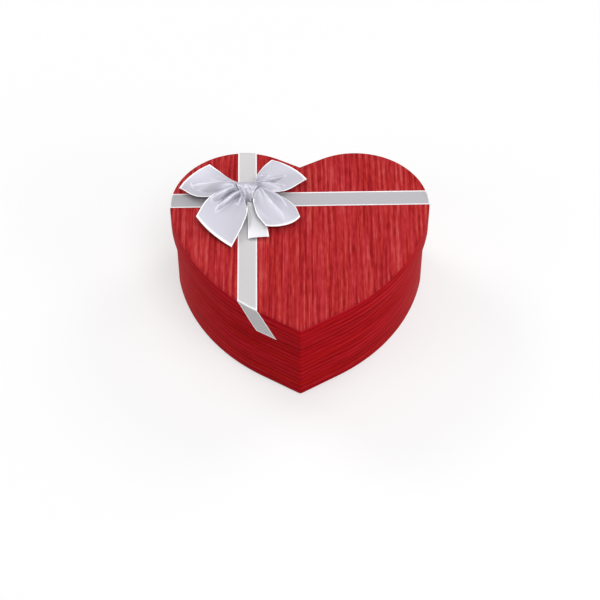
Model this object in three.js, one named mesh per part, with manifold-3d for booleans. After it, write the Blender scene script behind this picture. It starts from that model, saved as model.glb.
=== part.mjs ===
// Heart-shaped gift box: a greyboard base and lift-off lid covered in paper, with crossed ribbons and a bow.
// Millimetres, +Z up. The origin is on the table under the middle of the lid, and the tip points to -Y.

import * as THREE from 'three';
import { ParametricGeometry } from 'three/addons/geometries/ParametricGeometry.js';
import { mergeVertices } from 'three/addons/utils/BufferGeometryUtils.js';
import Module from 'manifold-3d';

const radians = THREE.MathUtils.degToRad;

// Outline of the lid: shoulders fall to the notch, and straight flanks run to the tip
const LID_WIDTH = 220;
const LID_LENGTH = 200;
const LOBE_RADIUS = 62;
const FLANK_RADIUS = 162;
const SHOULDER_SLOPE = radians(28);
const TIP_SLOPE = radians(31);

// Heights
const BOX_HEIGHT = 89;
const LID_RIM_DEPTH = 26;
const LID_SEAT_GAP = 0.3;

// Sheet stock
const BOARD = 1.5;
const WRAP = 0.3;
const LINING = 0.2;
const STAY_TAPE = 0.15;
const PASTE = 0.1;

// How the sheets are cut and fitted
const LID_PLAY = 0.45;
const BOARD_JOINT = 0.4;
const TURN_OVER = 10;
const TURN_IN = 15;
const LINING_REVEAL = 4;
const TOP_SHEET_BORDER = 1.2;
const BOTTOM_SHEET_BORDER = 2;
const STAY_WIDTH = 24;

// Ribbons over the lid
const RIBBON_WIDTH = 16;
const RIBBON = 0.3;
const RIBBON_TUCK = 1.8;
const LONG_RIBBON_X = -44;
const LONG_RIBBON_TURN = radians(0.8);
const CROSS_RIBBON_Y = 44;
const CROSS_RIBBON_TURN = radians(0.9);

// Bow
const BOW_X = -47.5;
const BOW_Y = 43.5;
const BOW_RIBBON = 0.6;
const KNOT_RADIUS = 7.5;
const KNOT_HEIGHT = 14;
const KNOT_GAP = 0.3;
const GLUE_RADIUS = 4.4;
const GLUE_HEIGHT = 3.4;
const WAIST_WIDTH = 10.6;
const WAIST_DEPTH = 6;
const FOLD_RADIUS = 1.8;
const LOOP_CROWN = 3.2;
const PLEAT_DEPTH = 1.1;
const TAIL_LENGTH = 46.5;
const TAIL_BEARING = radians(-73);
const TAIL_START_BEARING = radians(-55);
const TAIL_START_WIDTH = 8;
const TAIL_START_HEIGHT = 1.8;
const TAIL_END_LIFT = 1.2;

// Fineness of curves
const ARC_STEPS = 18;
const PLY_STEPS = 7;
const FOLD_STEPS = 4;
const LOOP_STRIPS = 8;
const TAIL_STEPS = 10;
const KNOT_SIDES = 16;

// Depth of each layer in from the lid's outside
const LID_WRAP = { outer: 0, inner: WRAP };
const LID_STAY = nextIn(LID_WRAP, STAY_TAPE);
const LID_BOARD = nextIn(LID_STAY, BOARD);
const LID_TURN_IN = nextIn(LID_BOARD, WRAP);
const BASE_OUTSIDE = LID_TURN_IN.inner + LID_PLAY;
const BASE_WRAP = { outer: BASE_OUTSIDE, inner: BASE_OUTSIDE + WRAP };
const BASE_STAY = nextIn(BASE_WRAP, STAY_TAPE);
const BASE_BOARD = nextIn(BASE_STAY, BOARD);
const BASE_TURN_IN = nextIn(BASE_BOARD, WRAP);
const BASE_LINING = nextIn(BASE_TURN_IN, LINING);

// Height of each layer, from the table up and from the lid's top down
const BOTTOM_SHEET = { low: 0, high: WRAP };
const BASE_TURN_UNDER = nextUp(BOTTOM_SHEET, WRAP);
const BOTTOM_BOARD = nextUp(BASE_TURN_UNDER, BOARD);
const FLOOR_LINING = nextUp(BOTTOM_BOARD, LINING);
const TOP_SHEET = { low: BOX_HEIGHT - WRAP, high: BOX_HEIGHT };
const LID_TURN_OVER = nextDown(TOP_SHEET, WRAP);
const TOP_BOARD = nextDown(LID_TURN_OVER, BOARD);
const TOP_LINING = nextDown(TOP_BOARD, LINING);
const BASE_TOP = TOP_LINING.low - LID_SEAT_GAP;
const RIM_BOTTOM = BOX_HEIGHT - LID_RIM_DEPTH;
const CROSS_RIBBON = nextUp(TOP_SHEET, RIBBON);
const RIBBON_STEP = nextUp(CROSS_RIBBON, RIBBON);
const GLUE = nextUp(RIBBON_STEP, GLUE_HEIGHT);
const KNOT = { low: GLUE.high + KNOT_GAP, high: GLUE.high + KNOT_GAP + KNOT_HEIGHT };
const WAIST_HEIGHT = (KNOT.low + KNOT.high) / 2;

// Colours and finishes: red streaked paper, white liner, grey board, brown tape, silver-grey satin, clear glue
const redPaper = { color: 0xa3262b, roughness: 0.55, metalness: 0 };
const whitePaper = { color: 0xf2efe8, roughness: 0.8, metalness: 0 };
const greyBoard = { color: 0x8f8a80, roughness: 0.9, metalness: 0 };
const kraftTape = { color: 0xb08d5e, roughness: 0.8, metalness: 0 };
const satin = { color: 0xd9d9e2, roughness: 0.35, metalness: 0 };
const hotGlue = { color: 0xe8e2cf, roughness: 0.4, metalness: 0 };

const wasm = await Module();
wasm.setup();
const HEART = heartArcs();
const box = new THREE.Group();

// The next layer inwards, upwards or downwards, one film of paste away
function nextIn(layer, thickness) {
  const outer = layer.inner + PASTE;
  return { outer, inner: outer + thickness };
}

function nextUp(layer, thickness) {
  const low = layer.high + PASTE;
  return { low, high: low + thickness };
}

function nextDown(layer, thickness) {
  const high = layer.low - PASTE;
  return { low: high - thickness, high };
}

function addPiece(name, geometry, look) {
  const piece = new THREE.Mesh(geometry, new THREE.MeshStandardMaterial(look));
  piece.name = name;
  box.add(piece);
}

// Centres of the right half's lobe and flank arcs, and the direction of the point where they join
function heartArcs() {
  const lobe = new THREE.Vector2(LID_WIDTH / 2 - LOBE_RADIUS, LID_LENGTH / 2 - LOBE_RADIUS);
  const tip = new THREE.Vector2(0, -LID_LENGTH / 2);
  const along = new THREE.Vector2(Math.cos(TIP_SLOPE), Math.sin(TIP_SLOPE));
  const inward = new THREE.Vector2(-along.y, along.x);
  // The flank arc runs into the straight line and holds the lobe arc inside it
  const flank = tip.clone().addScaledVector(inward, FLANK_RADIUS);
  const fromLobe = flank.clone().sub(lobe);
  const nearest = fromLobe.dot(along);
  const reach = (FLANK_RADIUS - LOBE_RADIUS) ** 2 - fromLobe.lengthSq() + nearest ** 2;
  flank.addScaledVector(along, -nearest - Math.sqrt(reach));
  return { lobe, flank, tip, join: lobe.clone().sub(flank).angle() };
}

// The right half of the outline, some depth in from the lid's outside, from notch to tip
function halfOutline(depth, middleGap = 0) {
  const shoulder = Math.PI / 2 + SHOULDER_SLOPE;
  const lobeArc = inwardArc(HEART.lobe, LOBE_RADIUS - depth, shoulder, HEART.join);
  const flankArc = inwardArc(HEART.flank, FLANK_RADIUS - depth, HEART.join, TIP_SLOPE - Math.PI / 2);
  const fall = (lobeArc[0].x - middleGap) * Math.tan(SHOULDER_SLOPE);
  const notch = new THREE.Vector2(middleGap, lobeArc[0].y - fall);
  const tipY = HEART.tip.y + depth / Math.cos(TIP_SLOPE) + middleGap * Math.tan(TIP_SLOPE);
  return [notch, ...lobeArc, ...flankArc.slice(1), new THREE.Vector2(middleGap, tipY)];
}

function inwardArc(centre, radius, from, to) {
  return new THREE.EllipseCurve(centre.x, centre.y, radius, radius, from, to, true).getPoints(ARC_STEPS);
}

function mirrored(points) {
  return points.map((point) => new THREE.Vector2(-point.x, point.y));
}

function heartOutline(depth) {
  const right = halfOutline(depth);
  return [...mirrored(right), ...right.slice(1, -1).reverse()];
}

function extruded(shape, { low, high }) {
  const geometry = new THREE.ExtrudeGeometry(shape, { depth: high - low, bevelEnabled: false });
  return geometry.translate(0, 0, low);
}

// A flat heart, a heart-shaped band, and one side of such a band
function heartPlate(depth, level) {
  return extruded(new THREE.Shape(heartOutline(depth)), level);
}

function heartBand({ outer, inner }, level) {
  const shape = new THREE.Shape(heartOutline(outer));
  shape.holes.push(new THREE.Path(heartOutline(inner)));
  return extruded(shape, level);
}

function sideStrip({ outer, inner }, level, isLeft) {
  const points = [
    ...halfOutline(outer, BOARD_JOINT / 2),
    ...halfOutline(inner, BOARD_JOINT / 2).reverse(),
  ];
  return extruded(new THREE.Shape(isLeft ? mirrored(points) : points), level);
}

// A solid to cut or join with, and the geometry of the result
function solidOf(geometry) {
  const bare = geometry.clone();
  bare.deleteAttribute('normal');
  bare.deleteAttribute('uv');
  const merged = mergeVertices(bare, 1e-4);
  return new wasm.Manifold(new wasm.Mesh({
    numProp: 3,
    vertProperties: new Float32Array(merged.attributes.position.array),
    triVerts: new Uint32Array(merged.index.array),
  }));
}

function geometryOf(solid) {
  const mesh = solid.getMesh();
  const geometry = new THREE.BufferGeometry();
  geometry.setAttribute('position', new THREE.BufferAttribute(mesh.vertProperties, 3));
  geometry.setIndex(new THREE.BufferAttribute(mesh.triVerts, 1));
  return geometry;
}

function joined(geometries) {
  return geometries.map(solidOf).reduce((whole, part) => whole.add(part));
}

// Paper pasted round a wall: the outside, a fold over each edge, and the parts turned in behind
function foldedWrap(layer, turnIn, level, folds) {
  const foldBands = folds.map((fold) => heartBand({ outer: layer.outer, inner: fold.inner }, fold));
  return geometryOf(joined([heartBand(layer, level), heartBand(turnIn, turnIn), ...foldBands]));
}

// Tape over the joint of two wall strips, at the tip or at the notch
function jointStay(layer, level, side) {
  const middle = new THREE.BoxGeometry(STAY_WIDTH, LID_LENGTH, 3 * BOX_HEIGHT);
  middle.translate(0, side * LID_LENGTH / 2, BOX_HEIGHT / 2);
  return geometryOf(solidOf(heartBand(layer, level)).intersect(solidOf(middle)));
}

function addBase() {
  const wall = { low: BOTTOM_BOARD.low, high: BASE_TOP - WRAP - PASTE };
  addPiece('base_bottom_sheet', heartPlate(BASE_WRAP.outer + BOTTOM_SHEET_BORDER, BOTTOM_SHEET), redPaper);
  addPiece('base_bottom_board', heartPlate(BASE_TURN_IN.outer, BOTTOM_BOARD), greyBoard);
  addPiece('base_wall_board_left', sideStrip(BASE_BOARD, wall, true), greyBoard);
  addPiece('base_wall_board_right', sideStrip(BASE_BOARD, wall, false), greyBoard);
  addPiece('base_stay_tip', jointStay(BASE_STAY, wall, -1), kraftTape);
  addPiece('base_stay_notch', jointStay(BASE_STAY, wall, 1), kraftTape);
  const wrapFolds = [
    { ...BASE_TURN_UNDER, inner: BASE_WRAP.outer + TURN_OVER },
    { low: BASE_TOP - WRAP, high: BASE_TOP, inner: BASE_TURN_IN.inner },
  ];
  const turnIn = { ...BASE_TURN_IN, low: BASE_TOP - TURN_IN, high: BASE_TOP };
  const wrapLevel = { low: BASE_TURN_UNDER.low, high: BASE_TOP };
  addPiece('base_wall_wrap', foldedWrap(BASE_WRAP, turnIn, wrapLevel, wrapFolds), redPaper);
  const liningLevel = { low: FLOOR_LINING.low, high: BASE_TOP - LINING_REVEAL };
  addPiece('base_wall_lining', heartBand(BASE_LINING, liningLevel), whitePaper);
  addPiece('base_floor_lining', heartPlate(BASE_LINING.inner + PASTE, FLOOR_LINING), whitePaper);
}

function addLid() {
  const rim = { low: RIM_BOTTOM + WRAP + PASTE, high: TOP_BOARD.high };
  addPiece('lid_top_board', heartPlate(LID_TURN_IN.outer, TOP_BOARD), greyBoard);
  addPiece('lid_rim_board_left', sideStrip(LID_BOARD, rim, true), greyBoard);
  addPiece('lid_rim_board_right', sideStrip(LID_BOARD, rim, false), greyBoard);
  addPiece('lid_stay_tip', jointStay(LID_STAY, rim, -1), kraftTape);
  addPiece('lid_stay_notch', jointStay(LID_STAY, rim, 1), kraftTape);
  const wrapFolds = [
    { ...LID_TURN_OVER, inner: LID_WRAP.outer + TURN_OVER },
    { low: RIM_BOTTOM, high: RIM_BOTTOM + WRAP, inner: LID_TURN_IN.inner },
  ];
  const turnIn = { ...LID_TURN_IN, low: RIM_BOTTOM, high: TOP_LINING.high };
  const wrapLevel = { low: RIM_BOTTOM, high: LID_TURN_OVER.high };
  addPiece('lid_rim_wrap', foldedWrap(LID_WRAP, turnIn, wrapLevel, wrapFolds), redPaper);
  addPiece('lid_top_sheet', heartPlate(TOP_SHEET_BORDER, TOP_SHEET), redPaper);
  addPiece('lid_top_lining', heartPlate(LID_TURN_IN.inner + PASTE, TOP_LINING), whitePaper);
}

// A shell one ribbon thick that lies all over the lid and turns under its rim, with any steps up from its top
function lidSkin(outerSteps = [], innerSteps = []) {
  const skirt = RIM_BOTTOM - PASTE;
  const outside = [heartPlate(-PASTE - RIBBON, { low: skirt - RIBBON, high: CROSS_RIBBON.high }), ...outerSteps];
  const inside = [
    heartPlate(-PASTE, { low: skirt, high: CROSS_RIBBON.low }),
    heartPlate(RIBBON_TUCK, { low: skirt - 2 * RIBBON, high: RIM_BOTTOM }),
    ...innerSteps,
  ];
  return joined(outside).subtract(joined(inside));
}

// An upright slab that a ribbon is cut from. Below the lid's top it leans by some run, as a flat ribbon does
// where it folds over an edge that it meets at a slant
function ribbonSlab(start, end, run) {
  const half = RIBBON_WIDTH / 2;
  const low = RIM_BOTTOM - LID_RIM_DEPTH / 2;
  const lean = run * (BOX_HEIGHT - low) / LID_RIM_DEPTH;
  const shape = new THREE.Shape([
    new THREE.Vector2(-half, KNOT.high),
    new THREE.Vector2(-half, BOX_HEIGHT),
    new THREE.Vector2(lean - half, low),
    new THREE.Vector2(lean + half, low),
    new THREE.Vector2(half, BOX_HEIGHT),
    new THREE.Vector2(half, KNOT.high),
  ]);
  const slab = new THREE.ExtrudeGeometry(shape, { depth: end - start, bevelEnabled: false });
  return slab.rotateX(Math.PI / 2).translate(0, end, 0);
}

function crossSlab() {
  const slab = ribbonSlab(-LID_WIDTH, LID_WIDTH, 0);
  return slab.rotateZ(Math.PI / 2 + CROSS_RIBBON_TURN).translate(0, CROSS_RIBBON_Y, 0);
}

// The long ribbon steps over the cross ribbon
function crossStep(allowance, high) {
  const size = RIBBON_WIDTH + 2 * allowance;
  const step = new THREE.BoxGeometry(size + RIBBON_WIDTH, size, high - TOP_SHEET.low);
  step.translate(0, 0, (high + TOP_SHEET.low) / 2).rotateZ(CROSS_RIBBON_TURN);
  return step.translate(LONG_RIBBON_X, CROSS_RIBBON_Y + LONG_RIBBON_X * Math.sin(CROSS_RIBBON_TURN), 0);
}

function addRibbons() {
  addPiece('ribbon_cross', geometryOf(lidSkin().intersect(solidOf(crossSlab()))), satin);
  // At the front the long ribbon meets the flank's edge at a slant and leans towards the tip
  const edgeSlope = Math.asin((LONG_RIBBON_X + HEART.flank.x) / -FLANK_RADIUS);
  const run = LID_RIM_DEPTH * Math.sin(edgeSlope);
  const slabs = [ribbonSlab(-LID_LENGTH, 0, run), ribbonSlab(-RIBBON_WIDTH, LID_LENGTH, 0)];
  slabs.forEach((slab) => slab.rotateZ(LONG_RIBBON_TURN).translate(LONG_RIBBON_X, 0, 0));
  const outerStep = crossStep(PASTE + RIBBON, RIBBON_STEP.high);
  const skin = lidSkin([outerStep], [crossStep(PASTE, RIBBON_STEP.low)]);
  addPiece('ribbon_long', geometryOf(skin.intersect(joined(slabs))), satin);
}

function direction(bearing) {
  return new THREE.Vector2(Math.cos(bearing), Math.sin(bearing));
}

// A curved sheet of ribbon made solid: both faces of the sheet and the strip between their borders
function ribbonSolid(surface, strips, steps) {
  const sheet = new ParametricGeometry(surface, strips, steps);
  const { position, normal } = sheet.attributes;
  const count = position.count;
  const points = [];
  for (const offset of [BOW_RIBBON / 2, -BOW_RIBBON / 2]) {
    for (let i = 0; i < count; i += 1) {
      const push = new THREE.Vector3().fromBufferAttribute(normal, i).multiplyScalar(offset);
      points.push(push.add(new THREE.Vector3().fromBufferAttribute(position, i)));
    }
  }
  const faces = [];
  const [...index] = sheet.index.array;
  for (let i = 0; i < index.length; i += 3) {
    const [a, b, c] = index.slice(i, i + 3);
    faces.push(a, b, c, a + count, c + count, b + count);
  }
  const border = sheetBorder(strips, steps);
  border.forEach((a, i) => {
    const b = border[(i + 1) % border.length];
    faces.push(b, a, a + count, b, a + count, b + count);
  });
  const geometry = new THREE.BufferGeometry().setFromPoints(points);
  geometry.setIndex(faces);
  return geometry;
}

// Numbers of the points round a grid's border, in the order that its faces run
function sheetBorder(strips, steps) {
  const row = strips + 1;
  const border = [];
  for (let i = 0; i < strips; i += 1) border.push(i);
  for (let i = 0; i < steps; i += 1) border.push(i * row + strips);
  for (let i = strips; i > 0; i -= 1) border.push(steps * row + i);
  for (let i = steps; i > 0; i -= 1) border.push(i * row);
  return border;
}

// One loop of the bow. It fans out from the knot on a lower ply, turns round a fold and comes back above.
// Reach is from the knot's centre to the middle of the fold, skew turns the fold in plan, and the fold's
// lift is its height over the lid at the right and the left end, seen from the knot
function loopSurface({ bearing, reach, fold, skew, liftRight, liftLeft }) {
  const out = direction(radians(bearing));
  const side = direction(radians(bearing) + Math.PI / 2);
  const foldSide = direction(radians(bearing + skew) + Math.PI / 2);
  const foldOut = direction(radians(bearing + skew));
  const steps = 2 * PLY_STEPS + FOLD_STEPS;
  return (u, v, target) => {
    const across = 2 * u - 1;
    const step = v * steps;
    const outward = Math.min(step, steps - step, PLY_STEPS) / PLY_STEPS;
    const round = THREE.MathUtils.clamp((step - PLY_STEPS) / FOLD_STEPS, 0, 1);
    const turn = Math.PI * (round - 0.5);
    const plan = out.clone().multiplyScalar(KNOT_RADIUS + KNOT_GAP + (reach - KNOT_RADIUS - KNOT_GAP) * outward);
    plan.addScaledVector(side, across * WAIST_WIDTH / 2 * (1 - outward));
    plan.addScaledVector(foldSide, across * fold / 2 * outward);
    plan.addScaledVector(foldOut, FOLD_RADIUS * (Math.cos(turn) - 1) * outward);
    const ply = Math.sin(turn);
    const waist = WAIST_HEIGHT + ply * WAIST_DEPTH / 2;
    const lift = BOX_HEIGHT + (liftLeft + liftRight) / 2 + across * (liftLeft - liftRight) / 2;
    const easing = outward * outward * (3 - 2 * outward);
    const crown = step > PLY_STEPS ? LOOP_CROWN * Math.sin(Math.PI * outward) * (1 - 0.4 * across ** 2) : 0;
    const pleat = step > PLY_STEPS ? PLEAT_DEPTH * Math.cos(3 * Math.PI * across) * (1 - outward) ** 2 : 0;
    const height = waist + (lift + FOLD_RADIUS * ply - waist) * easing + crown + pleat;
    target.set(BOW_X + plan.x, BOW_Y + plan.y, height);
  };
}

function addLoop(name, shape) {
  addPiece(name, ribbonSolid(loopSurface(shape), LOOP_STRIPS, 2 * PLY_STEPS + FOLD_STEPS), satin);
}

// The tie's free end drops from under the knot and lies forward over the lid
function tailSurface() {
  const start = direction(TAIL_START_BEARING).multiplyScalar(KNOT_RADIUS + KNOT_GAP);
  const end = direction(TAIL_BEARING).multiplyScalar(TAIL_LENGTH);
  const bend = direction(TAIL_START_BEARING).multiplyScalar(TAIL_LENGTH / 2);
  const middle = new THREE.QuadraticBezierCurve(start, bend, end);
  return (u, v, target) => {
    const across = 2 * u - 1;
    const point = middle.getPoint(v);
    const tangent = middle.getTangent(v);
    const spread = Math.min(1, v / 0.4);
    const half = (TAIL_START_WIDTH + (RIBBON_WIDTH - TAIL_START_WIDTH) * spread) / 2;
    const rest = RIBBON_STEP.high + BOW_RIBBON;
    const height = rest + (KNOT.low + TAIL_START_HEIGHT - rest) * (1 - v) ** 3 + TAIL_END_LIFT * v ** 3;
    target.set(BOW_X + point.x - across * half * tangent.y, BOW_Y + point.y + across * half * tangent.x, height);
  };
}

function addBow() {
  const knot = new THREE.Path();
  knot.moveTo(0, KNOT.low);
  knot.lineTo(KNOT_RADIUS * 0.7, KNOT.low);
  knot.quadraticCurveTo(KNOT_RADIUS, KNOT.low, KNOT_RADIUS, KNOT.low + KNOT_HEIGHT * 0.2);
  knot.lineTo(KNOT_RADIUS, WAIST_HEIGHT + WAIST_DEPTH / 2);
  knot.quadraticCurveTo(KNOT_RADIUS, KNOT.high, 0, KNOT.high);
  const barrel = new THREE.LatheGeometry(knot.getPoints(4), KNOT_SIDES).rotateX(Math.PI / 2);
  addPiece('bow_knot', barrel.translate(BOW_X, BOW_Y, 0), satin);
  addLoop('bow_loop_upper_left', {
    bearing: 153.6, reach: 47.5, fold: 37, skew: -17.5, liftRight: 8, liftLeft: 6,
  });
  addLoop('bow_loop_upper_right', {
    bearing: 37.4, reach: 48.4, fold: 37, skew: 18.3, liftRight: 5, liftLeft: 8,
  });
  addLoop('bow_loop_lower_left', {
    bearing: -119.1, reach: 48.4, fold: 43, skew: -14.9, liftRight: 9, liftLeft: 4,
  });
  addLoop('bow_loop_lower_right', {
    bearing: -40, reach: 43.8, fold: 32, skew: -32.9, liftRight: 4.5, liftLeft: 5,
  });
  addPiece('bow_tail', ribbonSolid(tailSurface(), 2, TAIL_STEPS), satin);
  const dot = new THREE.CylinderGeometry(GLUE_RADIUS, GLUE_RADIUS, GLUE.high - GLUE.low, KNOT_SIDES);
  dot.rotateX(Math.PI / 2).translate(BOW_X, BOW_Y, (GLUE.low + GLUE.high) / 2);
  addPiece('bow_glue_dot', dot, hotGlue);
}

addBase();
addLid();
addRibbons();
addBow();

export default box;
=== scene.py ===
import math

import bmesh
import bpy
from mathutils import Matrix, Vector, geometry


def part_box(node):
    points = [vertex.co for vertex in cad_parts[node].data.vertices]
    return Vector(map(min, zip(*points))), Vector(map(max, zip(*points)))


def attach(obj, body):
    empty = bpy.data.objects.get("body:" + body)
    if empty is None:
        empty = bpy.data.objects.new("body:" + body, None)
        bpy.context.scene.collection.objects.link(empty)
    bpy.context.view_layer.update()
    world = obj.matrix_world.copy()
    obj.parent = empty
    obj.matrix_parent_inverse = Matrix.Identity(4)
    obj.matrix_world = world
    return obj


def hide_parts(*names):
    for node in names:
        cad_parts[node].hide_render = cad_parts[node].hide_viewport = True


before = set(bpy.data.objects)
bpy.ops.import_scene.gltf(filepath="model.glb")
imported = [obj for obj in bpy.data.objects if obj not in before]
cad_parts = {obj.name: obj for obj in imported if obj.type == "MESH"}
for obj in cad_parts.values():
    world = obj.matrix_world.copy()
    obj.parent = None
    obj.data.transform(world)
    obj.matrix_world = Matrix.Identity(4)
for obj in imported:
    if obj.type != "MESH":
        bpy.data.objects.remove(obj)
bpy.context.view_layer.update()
bpy.ops.object.select_all(action="DESELECT")

# The papers' grain in millimetres: the distance between the embossed lines; the width and the length of the
# streaks on the top and on the walls, with the share of the lines that keep an even distance; then the
# finer, broader and shorter streaks and the depth of the embossing, as shares of the main streaks, the
# weights of the finer and the shorter ones, and how far the hue goes
RIB_SPACING = 5.0
TOP_STREAKS = (1.9, 60, 0.11)
WALL_STREAKS = (1.6, 90, 0.16)
FINE_STREAKS = 0.5
BROAD_STREAKS = 1.6
SHORT_STREAKS = 0.15
EMBOSSING = 0.08
FINE_SHARE = 0.2
SHORT_SHARE = 0.25
HUE_RANGE = 0.01
# One wave of the wave texture is this long at a scale of 1
WAVE_LENGTH = 2 * math.pi / 20

# Lengths are in millimetres up to the meshes, which are in metres
MM = 0.001

# Outline of the lid
LOBE_RADIUS = 62
FLANK_RADIUS = 162
SHOULDER_SLOPE = math.radians(28)
TIP_SLOPE = math.radians(31)
NOTCH_ROUND = 1.0
TIP_ROUND = 3
LEAST_ROUND = 0.3

# Fineness of the outline, from the notch to the tip
NOTCH_STEPS = 4
SHOULDER_STEPS = 6
LOBE_STEPS = 44
FLANK_STEPS = 40
STRAIGHT_STEPS = 8
TIP_STEPS = 4

# Sheet stock
WRAP = 0.3
LINING = 0.2
BOARD = 1.5
STAY = 0.15
PASTE = 0.1

# How the sheets are cut and folded: what a wrap turns over the lid's top or under the base, what it turns
# in over an edge and how deep that lies, and how worn a cut edge is, as a share of its thickness
TURN_OVER = 10
TURN_IN = 15
TURN_IN_DEPTH = 2.25
BOTTOM_SHEET_BORDER = 2
FOLD_ROUND = 0.55
CUT_EDGE_WEAR = 0.3
# The least upward part of a face's direction at which it counts as facing up
FACES_UP = 0.4

# Points that lie closer than this are one: across the middle of the heart, and in a finished sheet
MIRROR_MERGE = 0.01
DOUBLES_MERGE = 0.002

# Flat ribbons: their stock, their bend over the lid's edge and their tuck under its rim. The long ribbon
# slants, so at the front its tuck goes aside, and it is lifted where it crosses the other.
RIBBON_WIDTH = 16
RIBBON = 0.24
RIBBON_SELVEDGE = 0.36
SELVEDGE_WIDTH = 1.1
RIBBON_BEND = 1.0
RIBBON_TUCK_BEND = 0.3
RIBBON_TUCK = 1.6
FRONT_TUCK_BEND_ASIDE = 0.1
FRONT_TUCK_ASIDE = 0.6
CROSSING_LIFT = 0.4
CROSSING_REACH = 2.5
LONG_RIBBON_X = -44
LONG_RIBBON_TURN = math.radians(0.8)
CROSS_RIBBON_Y = 44
CROSS_RIBBON_TURN = math.radians(0.9)

# Fineness of the flat ribbons, and where points lie across a selvedge, as a share of its width
SELVEDGE_MIDDLE = 0.55
RIBBON_FIELDS = 6
BEND_STEPS = 5
CROSS_RIBBON_STEPS = 40
LONG_RIBBON_STEPS = 80
CROSS_DROP_STEPS = 4
LONG_DROP_STEPS = 8

# Bow
BOW_X = -47.5
BOW_Y = 43.5
BOW_RIBBON_WIDTH = 38
KNOT_RIBBON_WIDTH = 20
TAIL_WIDTH = 16
BOW_RIBBON = 0.3
BOW_SELVEDGE = 0.5
GLUE_ROUND = 1.1

# The painted highlights across the ribbons, thin bright lines where the satin bends: each one's distance
# from the middle, its half width and how softly it ends, as shares of the mesh's length. They lie where a
# flat ribbon bends over the lid's edge and turns in under its rim, and on the fold of a loop, past its
# bend.
LONG_RIBBON_FOLD_HIGHLIGHTS = [(0.389, 0.024, 0.7), (0.49, 0.0125, 0.1)]
CROSS_RIBBON_FOLD_HIGHLIGHTS = [(0.369, 0.04, 0.7), (0.483, 0.0175, 0.1)]
LOOP_FOLD_HIGHLIGHTS = [(0, 0.136, 0.08)]
SELVEDGE_FADE = 0.25

# The studio, in metres: what the softboxes face, how wide the floor is, and how far below the box it lies
BOX_MIDDLE = Vector((0, 0, 0.06))
FLOOR_SIZE = 8
FLOOR_DROP = 0.0005

# Sizes read from the frame
LID_LOW, LID_HIGH = (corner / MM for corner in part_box("lid_rim_wrap"))
LID_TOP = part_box("lid_top_sheet")[1].z / MM
BASE_LOW, BASE_HIGH = (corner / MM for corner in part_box("base_wall_wrap"))
BASE_DEPTH = LID_HIGH.x - BASE_HIGH.x


def heart_centres():
    """Centres of the right lobe's arc and of its flank's, the tip, and the angle where the arcs join."""
    lobe = Vector((LID_HIGH.x - LOBE_RADIUS, LID_HIGH.y - LOBE_RADIUS))
    tip = Vector((0, LID_LOW.y))
    along = Vector((math.cos(TIP_SLOPE), math.sin(TIP_SLOPE)))
    flank = tip + Vector((-along.y, along.x)) * FLANK_RADIUS
    from_lobe = flank - lobe
    nearest = from_lobe.dot(along)
    reach = (FLANK_RADIUS - LOBE_RADIUS) ** 2 - from_lobe.length_squared + nearest**2
    flank -= along * (nearest + math.sqrt(reach))
    join = math.atan2(lobe.y - flank.y, lobe.x - flank.x)
    return lobe, flank, tip, join


LOBE, FLANK, TIP, JOIN = heart_centres()


def at_angle(centre, radius, angle):
    """The point of a circle at an angle."""
    return centre + Vector((math.cos(angle), math.sin(angle))) * radius


def only_select(piece):
    """Selects a piece and nothing else, and makes it the active one."""
    bpy.ops.object.select_all(action="DESELECT")
    piece.select_set(True)
    bpy.context.view_layer.objects.active = piece


def stop_editing():
    """Goes back to object mode."""
    bpy.ops.object.mode_set(mode="OBJECT")


def edit_whole(piece):
    """Goes into edit mode with all of a piece selected."""
    only_select(piece)
    bpy.ops.object.mode_set(mode="EDIT")
    bpy.ops.mesh.select_all(action="SELECT")


def apply_modifier(piece, kind, **settings):
    """Shapes a piece with a modifier, for good."""
    only_select(piece)
    modifier = piece.modifiers.new(kind.title(), kind)
    for name, value in settings.items():
        setattr(modifier, name, value)
    bpy.ops.object.modifier_apply(modifier=modifier.name)


def finish_piece(piece, body, material, node, smooth=30):
    """Shades a piece, gives it its material, and ties it to the frame in place of a CAD node."""
    only_select(piece)
    bpy.ops.object.shade_smooth_by_angle(angle=math.radians(smooth))
    piece.data.materials.clear()
    piece.data.materials.append(material)
    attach(piece, body)
    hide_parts(node)


def start_outline(name):
    """A new piece in edit mode, with nothing in its mesh yet."""
    bpy.ops.mesh.primitive_plane_add(size=MM)
    piece = bpy.context.object
    piece.name = piece.data.name = name
    bpy.ops.object.mode_set(mode="EDIT")
    bpy.ops.mesh.delete(type="VERT")
    return piece


def pen_down(point, height):
    """Starts a line with one vertex."""
    place = Vector((point.x, point.y, height)) * MM
    bpy.ops.mesh.primitive_plane_add(size=MM, location=place)
    bpy.ops.mesh.merge(type="CENTER")


def pen_arc(centre, angle, steps, height):
    """Carries the line on round a centre, anticlockwise from above where the angle is positive."""
    middle = Vector((centre.x, centre.y, height)) * MM
    bpy.ops.mesh.spin(steps=steps, angle=angle, center=middle, axis=(0, 0, -1))


def pen_line(start, end, steps):
    """Carries the line on, straight."""
    step = Vector((*(end - start), 0)) * MM / steps
    for _ in range(steps):
        bpy.ops.mesh.extrude_region_move(TRANSFORM_OT_translate={"value": step})


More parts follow.
